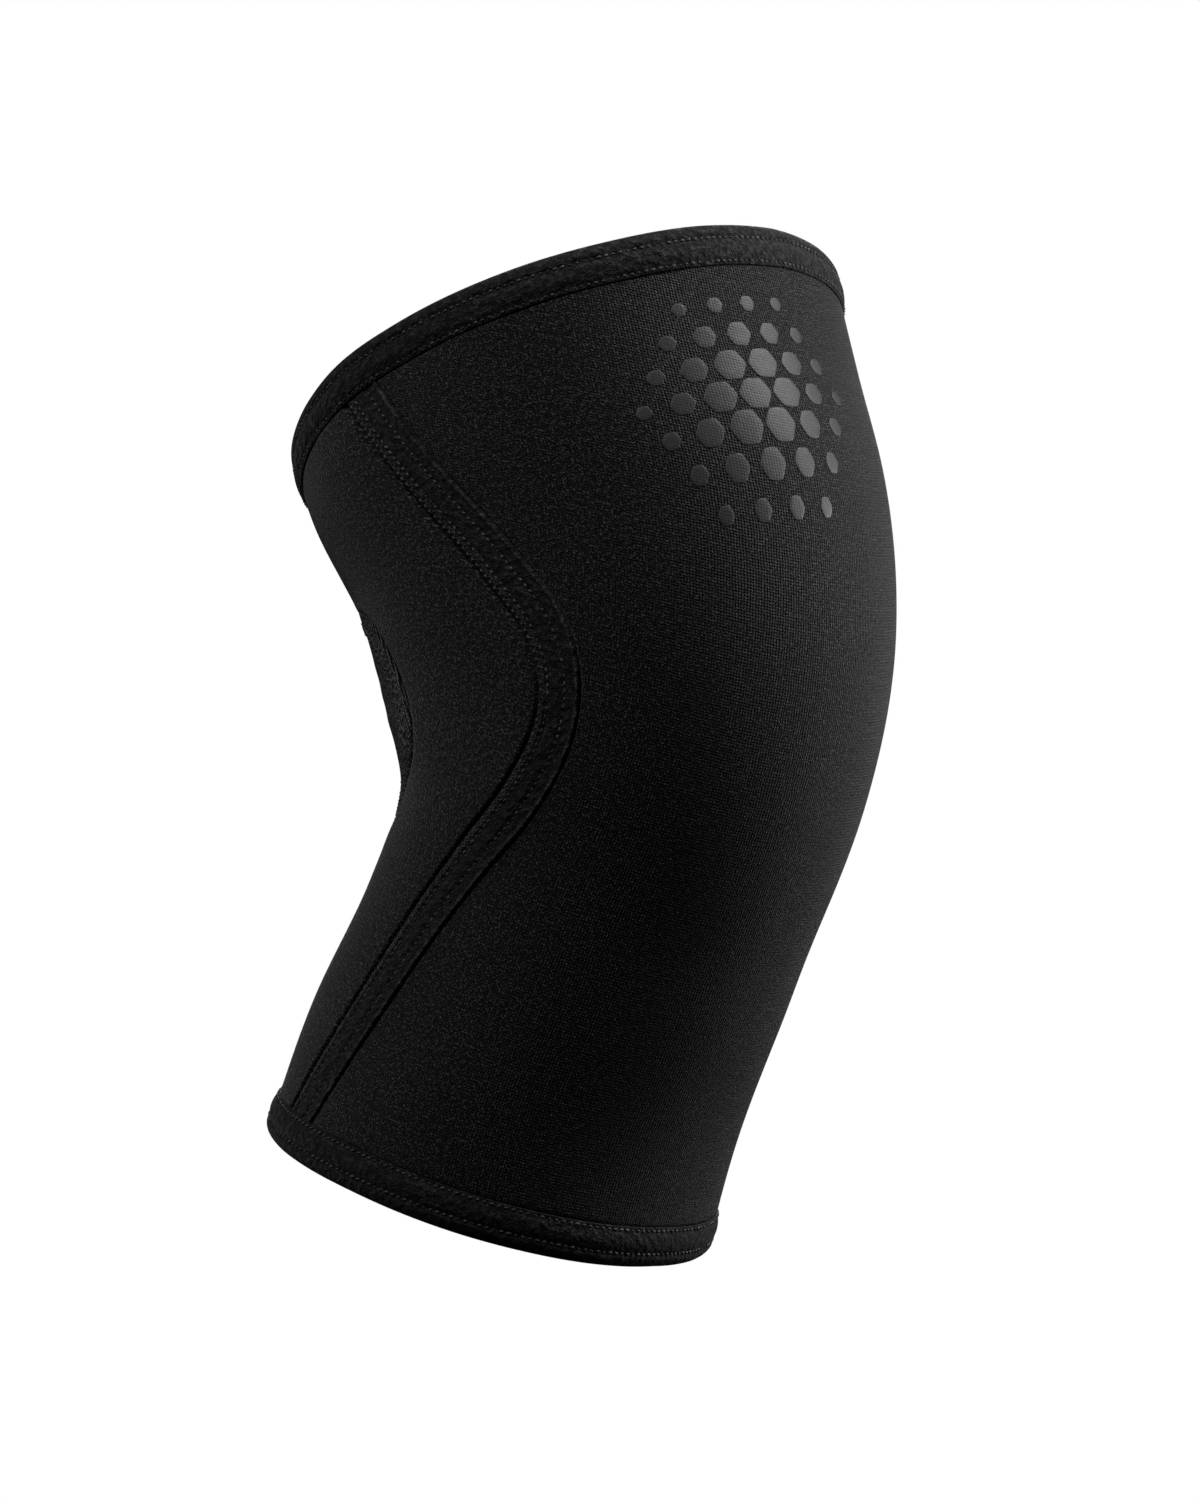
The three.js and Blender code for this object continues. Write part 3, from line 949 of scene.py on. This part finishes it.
# Stitching: dark polyester thread that lies on the cloth in short dashes, each end pulled down into it.
# Three rows and a fine zigzag hold each tape, two rows each binding on both its faces, and two rows and
# a flat zigzag the insert. Row heights are off the cloth's face.
thread_length = 1.3 * mm
thread_width = 0.66 * mm
thread_stray = 0.22
thread_bulk = (0.6, 1.15)
thread_dark = (0.02, 0.02, 0.0204, 1)
thread_light = (0.145, 0.145, 0.147, 1)


def thread_finish():
    material, tree = new_finish("sewing_thread")
    place = tree.node("ShaderNodeTexCoord", output=3)
    grain = speckle(tree, place, 0.5 * mm, 1.0)
    shade = speckle(tree, place, 2.5 * mm, 1.0) * 2 - 0.5
    colour = tree.between(shade, thread_dark, thread_light)
    tree.surface(colour, 0.4 + 0.2 * grain, 0.5, tree.relief(grain, 0.05 * mm, strength=0.6))
    return material


sewing_thread = thread_finish()


def stitch_tree():
    """Dashes of thread along curves, each turned to its curve and to the cloth that it lies on."""
    group = bpy.data.node_groups.new("stitches", "GeometryNodeTree")
    tree = Tree(group)
    group.interface.new_socket("Geometry", in_out="INPUT", socket_type="NodeSocketGeometry")
    for name in ("Pitch", "Length", "Width", "Lean"):
        group.interface.new_socket(name, in_out="INPUT", socket_type="NodeSocketFloat")
    group.interface.new_socket("Seed", in_out="INPUT", socket_type="NodeSocketInt")
    group.interface.new_socket("Thread", in_out="INPUT", socket_type="NodeSocketMaterial")
    group.interface.new_socket("Geometry", in_out="OUTPUT", socket_type="NodeSocketGeometry")
    entry = tree.node("NodeGroupInput").socket.node
    rows_in, pitch, length, width, lean, seed, thread = (Sock(tree, entry.outputs[k]) for k in range(7))
    curves = tree.node("GeometryNodeMeshToCurve", inputs={0: rows_in})
    even = tree.node("GeometryNodeResampleCurve", {"mode": "LENGTH"}, {"Curve": curves, "Length": pitch})
    tangent = tree.node("GeometryNodeInputTangent")
    out = tree.node("GeometryNodeInputNamedAttribute", {"data_type": "FLOAT_VECTOR"}, {"Name": "out"})
    facing = tree.node(
        "FunctionNodeAxesToRotation",
        {"primary_axis": "Z", "secondary_axis": "X"},
        {"Primary Axis": out, "Secondary Axis": tangent},
    )
    index = tree.node("GeometryNodeInputIndex")
    turn = lean * (tree.maths("MODULO", index, 2.0) * 2 - 1)
    turn_range = {2: -thread_stray, 3: thread_stray, "Seed": seed}
    stray = tree.node("FunctionNodeRandomValue", {"data_type": "FLOAT"}, turn_range, output=1)
    bulk_range = {2: thread_bulk[0], 3: thread_bulk[1], "Seed": seed}
    bulk = tree.node("FunctionNodeRandomValue", {"data_type": "FLOAT"}, bulk_range, output=1)
    turning = tree.node("FunctionNodeAxisAngleToRotation", inputs={"Axis": (0, 0, 1), "Angle": turn + stray})
    turns = {"Rotation": facing, "Rotate By": turning}
    leaned = tree.node("FunctionNodeRotateRotation", {"rotation_space": "LOCAL"}, turns)
    ball = tree.node("GeometryNodeMeshUVSphere", inputs={"Segments": 8, "Rings": 4, "Radius": 0.5})
    size = tree.node("ShaderNodeCombineXYZ", inputs={0: length, 1: width, 2: width})
    dash = tree.node("GeometryNodeTransform", inputs={"Geometry": ball, "Scale": size})
    spots = {"Points": even, "Instance": dash, "Rotation": leaned, "Scale": bulk}
    placed = tree.node("GeometryNodeInstanceOnPoints", inputs=spots)
    real = tree.node("GeometryNodeRealizeInstances", inputs={0: placed})
    smooth = tree.node("GeometryNodeSetShadeSmooth", inputs={0: real})
    dressed = tree.node("GeometryNodeSetMaterial", inputs={"Geometry": smooth, "Material": thread})
    tree.node("NodeGroupOutput", inputs={0: dressed})
    return group


stitches = stitch_tree()


def row_of(angle, share, height, closed=False):
    """One row of stitches: its points on the cloth, the way out of the cloth, and whether it closes."""
    share = np.broadcast_to(share, angle.shape)
    return off_skin(angle, share, np.broadcast_to(height, angle.shape)), outward(angle, share), closed


def stitch_piece(name, lines, pitch, length=thread_length, width=thread_width, lean=0.1, seed=1):
    """Rows of stitches as one plain mesh that rides on the sleeve."""
    points = np.concatenate([line[0] for line in lines])
    edges = []
    start = 0
    for line, _, closed in lines:
        count = len(line)
        edges += [(start + k, start + k + 1) for k in range(count - 1)]
        if closed:
            edges.append((start + count - 1, start))
        start += count
    mesh = bpy.data.meshes.new(name + "_rows")
    mesh.from_pydata(points.tolist(), edges, [])
    out = np.concatenate([line[1] for line in lines]).astype(np.float32)
    mesh.attributes.new("out", "FLOAT_VECTOR", "POINT").data.foreach_set("vector", out.reshape(-1))
    piece = bpy.data.objects.new(name, mesh)
    bpy.context.scene.collection.objects.link(piece)
    modifier = piece.modifiers.new("stitches", "NODES")
    modifier.node_group = stitches
    values = {"Pitch": pitch, "Length": length, "Width": width, "Lean": lean, "Seed": seed}
    values["Thread"] = sewing_thread
    for item in stitches.interface.items_tree:
        if item.in_out == "INPUT" and item.name in values:
            modifier[item.identifier] = values[item.name]
    evaluated = piece.evaluated_get(bpy.context.evaluated_depsgraph_get())
    finished = bpy.data.meshes.new_from_object(evaluated)
    finished.name = name
    piece.modifiers.clear()
    piece.data = finished
    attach(piece, "root")
    return piece


row_points = 400
tape_rows_across = (1.0, 3.1, 7.9)
tape_row_rise = 0.14 * mm
tape_zigzag_across = 1.8
tape_zigzag_rise = -0.02 * mm
outer_binding_rows = ((4.55, 0.98), (10.85, 0.6))
inner_binding_rows = ((4.55, -5.7), (8.0, -5.9))
insert_row_insets = (3.9, 7.9)
insert_row_rise = 0.02 * mm
insert_zigzag_inset = 5.9
insert_zigzag_rise = 0.05 * mm


def tape_row(side, across, rise):
    """A row along a tape, at a distance in from the tape's rear edge in millimetres."""
    place = np.full(row_points, across * mm)
    height = tape_height(tape_share, place) + rise
    return row_of(side * across_tape(tape_share, place), tape_share, height)


tape_share = np.linspace(binding_width / sleeve_length, 1 - binding_width / sleeve_length, row_points)
for side, label in ((1, "left"), (-1, "right")):
    lines = [tape_row(side, across, tape_row_rise) for across in tape_rows_across]
    stitch_piece(f"tape_stitches_{label}", lines, 2.0 * mm)
    lines = [tape_row(side, tape_zigzag_across, tape_zigzag_rise)]
    zigzag = stitch_piece(
        f"tape_zigzag_{label}", lines, pitch=1.0 * mm, length=2.0 * mm, width=0.28 * mm, lean=0.95
    )

rim_angle = np.arange(row_points) / row_points * 2 * math.pi
signed_angle = (rim_angle + math.pi) % (2 * math.pi) - math.pi
for at_top, label in ((True, "top"), (False, "bottom")):
    lift = binding_lift(signed_angle, at_top, 1)
    lines = []
    for inward, height in outer_binding_rows:
        lines.append(row_of(rim_angle, rim_share(at_top, inward * mm), height * mm + lift, closed=True))
    for inward, height in inner_binding_rows:
        lines.append(row_of(rim_angle, rim_share(at_top, inward * mm), height * mm, closed=True))
    stitch_piece(f"binding_stitches_{label}", lines, 1.95 * mm)


def insert_row(inset, rise):
    """A row round the insert, at a distance in from its edge in millimetres."""
    turn, share = ray_place(oval_reach - insert_gap - inset * mm)
    return row_of(math.pi + turn, share, rise - insert_depth, closed=True)


insert_lines = [insert_row(inset, insert_row_rise) for inset in insert_row_insets]
insert_rows = stitch_piece("insert_stitches", insert_lines, 2.0 * mm)
zigzag_lines = [insert_row(insert_zigzag_inset, insert_zigzag_rise)]
insert_zigzag = stitch_piece(
    "insert_zigzag", zigzag_lines, pitch=1.7 * mm, length=4.2 * mm, width=0.62 * mm, lean=0.75
)

# Print on the thigh: a plain honeycomb of small tiles in soft grey film, heat-pressed onto the front panel.
# The film is thin, so the knit shows through it as a fine grain.
tile_pitch = 9.6 * mm
tile_gap = 1.1 * mm
smallest_tile = 0.42
full_size_within = 6 * mm
tiles_each_way = 4
print_centre = (math.radians(-18), 0.8)
print_radius = 31 * mm
print_stretch = 1.13
film_thickness = 0.12 * mm
film_dark = (0.03, 0.03, 0.031, 1)
film_light = (0.075, 0.075, 0.076, 1)

# Rings of points from the middle of a tile to its edge: shares of its reach, and of the film's thickness
tile_rings = [(0.5, 1), (0.93, 1), (1.0, 0.6), (1.0, -1)]


def film_finish():
    material, tree = new_finish("print_film")
    place, across, along = cloth_places(tree)
    weave = tree.wave(across, 0.86 * mm) + tree.wave(along, 0.8 * mm)
    grain = speckle(tree, place, 0.8 * mm)
    cloud = speckle(tree, place, 14 * mm)
    colour = tree.between(grain * 0.7 + cloud * 0.3, film_dark, film_light)
    tree.surface(colour, 0.34 + 0.2 * grain, 0.5, tree.relief(weave * 0.2 + grain, 0.05 * mm))
    return material


def tile_outline(size, count=24):
    """A hexagon with softened corners: its reach at each turn."""
    turns = np.arange(count) / count * 2 * math.pi
    from_flat = (turns + math.pi / 6) % (math.pi / 3) - math.pi / 6
    hexagon = size / 2 / np.cos(from_flat)
    return turns, np.minimum(hexagon, size / 2 * 1.1)


def tile_middles():
    """The middle of each tile, and how far it is from the middle of the print."""
    steps = range(-tiles_each_way, tiles_each_way + 1)
    for row in steps:
        for column in steps:
            x = (column + 0.5 * (row % 2)) * tile_pitch
            y = row * tile_pitch * math.sqrt(3) / 2
            away = math.hypot(x, y)
            if away <= print_radius:
                yield x, y, away


def print_piece():
    points, uvs, faces = [], [], []
    for x, y, away in tile_middles():
        size = (tile_pitch - tile_gap) * lerp(1.0, smallest_tile, ease(away, full_size_within, print_radius))
        turns, reach = tile_outline(size)
        count = len(turns)
        start = sum(len(part) for part in points)
        flat = [np.array([[x, y]])]
        lift = [np.array([film_thickness])]
        for share, height in tile_rings:
            x_ring = x + reach * share * np.sin(turns)
            y_ring = y + reach * share * np.cos(turns)
            flat.append(np.stack([x_ring, y_ring], axis=-1))
            lift.append(np.full(count, film_thickness * height))
        flat = np.concatenate(flat)
        angle = print_centre[0] + flat[:, 0] / (print_stretch * mean_radius)
        share = print_centre[1] + flat[:, 1] / sleeve_length
        points.append(off_skin(angle, share, np.concatenate(lift) + slow_swell(angle, share)))
        uvs.append(front_uv(angle, share))
        for k in range(count):
            after = (k + 1) % count
            faces.append((start, start + 1 + after, start + 1 + k))
            for ring in range(len(tile_rings) - 1):
                a = start + 1 + ring * count
                faces.append((a + k, a + after, a + count + after, a + count + k))
    mesh = bpy.data.meshes.new("thigh_print")
    mesh.from_pydata(np.concatenate(points).tolist(), [], faces)
    piece = hang_cloth(mesh, np.concatenate(uvs), face_corners(mesh), film_finish())
    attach(piece, "root")
    return piece


thigh_print = print_piece()

# Studio: a pale floor well below the sleeve and white all round. Large soft lights stand at the kneecap
# side, above the thigh and behind the calf, a small one lies close to the kneecap, and one is for the back.
floor_height = -0.36
floor_radius = 1.6
floor_sides = 96


def floor_finish():
    material, tree = new_finish("studio_floor")
    grain = speckle(tree, tree.node("ShaderNodeTexCoord", output=3), 0.4)
    tree.surface(tree.between(grain, grey(0.86), grey(0.9)), 0.9, glow=0.35)
    return material


floor_mesh = bpy.data.meshes.new("floor")
floor_turns = [k / floor_sides * 2 * math.pi for k in range(floor_sides)]
floor_rim = [(floor_radius * math.cos(t), floor_radius * math.sin(t), floor_height) for t in floor_turns]
floor_mesh.from_pydata(floor_rim, [], [list(range(floor_sides))])
floor_mesh.materials.append(floor_finish())
floor = bpy.data.objects.new("floor", floor_mesh)
bpy.context.scene.collection.objects.link(floor)
floor.visible_diffuse = False
floor.visible_glossy = False

world = bpy.data.worlds.new("studio")
world.use_nodes = True
bpy.context.scene.world = world
sky = Tree(world.node_tree)
ambient = sky.node("ShaderNodeBackground", inputs={"Color": grey(1), "Strength": 0.01})
white = sky.node("ShaderNodeBackground", inputs={"Color": grey(1), "Strength": 1.0})
seen = sky.node("ShaderNodeLightPath")
backdrop = sky.node("ShaderNodeMixShader", inputs={0: seen, 1: ambient, 2: white})
sky.node("ShaderNodeOutputWorld", inputs={0: backdrop})
bpy.context.scene.view_settings.view_transform = "Standard"

view_turn = math.radians(51.99)
view_rise = math.radians(-3.46)
view_roll = math.radians(0.18)
view_distance = 1483.26 * mm
view_aside = -8.38 * mm
view_above = -13.39 * mm
view_lens = 133.74

back_way = Vector((
    -math.sin(view_turn) * math.cos(view_rise),
    -math.cos(view_turn) * math.cos(view_rise),
    math.sin(view_rise),
))
level_right = (-back_way).cross(Vector((0, 0, 1))).normalized()
level_up = level_right.cross(-back_way)
view_right = level_right * math.cos(view_roll) + level_up * math.sin(view_roll)
view_up = level_up * math.cos(view_roll) - level_right * math.sin(view_roll)
view_from = back_way * view_distance + view_right * view_aside + view_up * view_above

camera_data = bpy.data.cameras.new("camera")
camera_data.lens = view_lens
camera_data.sensor_width = 36
camera = bpy.data.objects.new("camera", camera_data)
view_axes = Matrix((view_right, view_up, back_way)).transposed()
camera.matrix_world = Matrix.Translation(view_from) @ view_axes.to_4x4()
bpy.context.scene.collection.objects.link(camera)
bpy.context.scene.camera = camera


def softbox(name, turn, rise, power, distance=1.3, width=0.6, height=0.8):
    """A soft light that faces the knee: degrees to the right of the camera, and above the knee."""
    data = bpy.data.lights.new(name, "AREA")
    data.shape = "RECTANGLE"
    data.size = width
    data.size_y = height
    data.energy = power
    light = bpy.data.objects.new(name, data)
    turn, rise = math.radians(turn), math.radians(rise)
    level = level_right * math.sin(turn) + back_way * math.cos(turn)
    place = (level * math.cos(rise) + Vector((0, 0, math.sin(rise)))) * distance
    light.matrix_world = Matrix.Translation(place) @ place.to_track_quat("Z", "Y").to_matrix().to_4x4()
    light.visible_camera = False
    bpy.context.scene.collection.objects.link(light)


softbox("kneecap_light", 90, 15, 3.5)
softbox("kneecap_high_light", 90, 50, 9)
softbox("kneecap_near_light", 96, 8, 0.17, distance=0.2, width=0.12, height=0.12)
softbox("thigh_light", -30, 50, 5.5)
softbox("calf_light", -120, -15, 1.8)
softbox("back_light", 178, 20, 10)
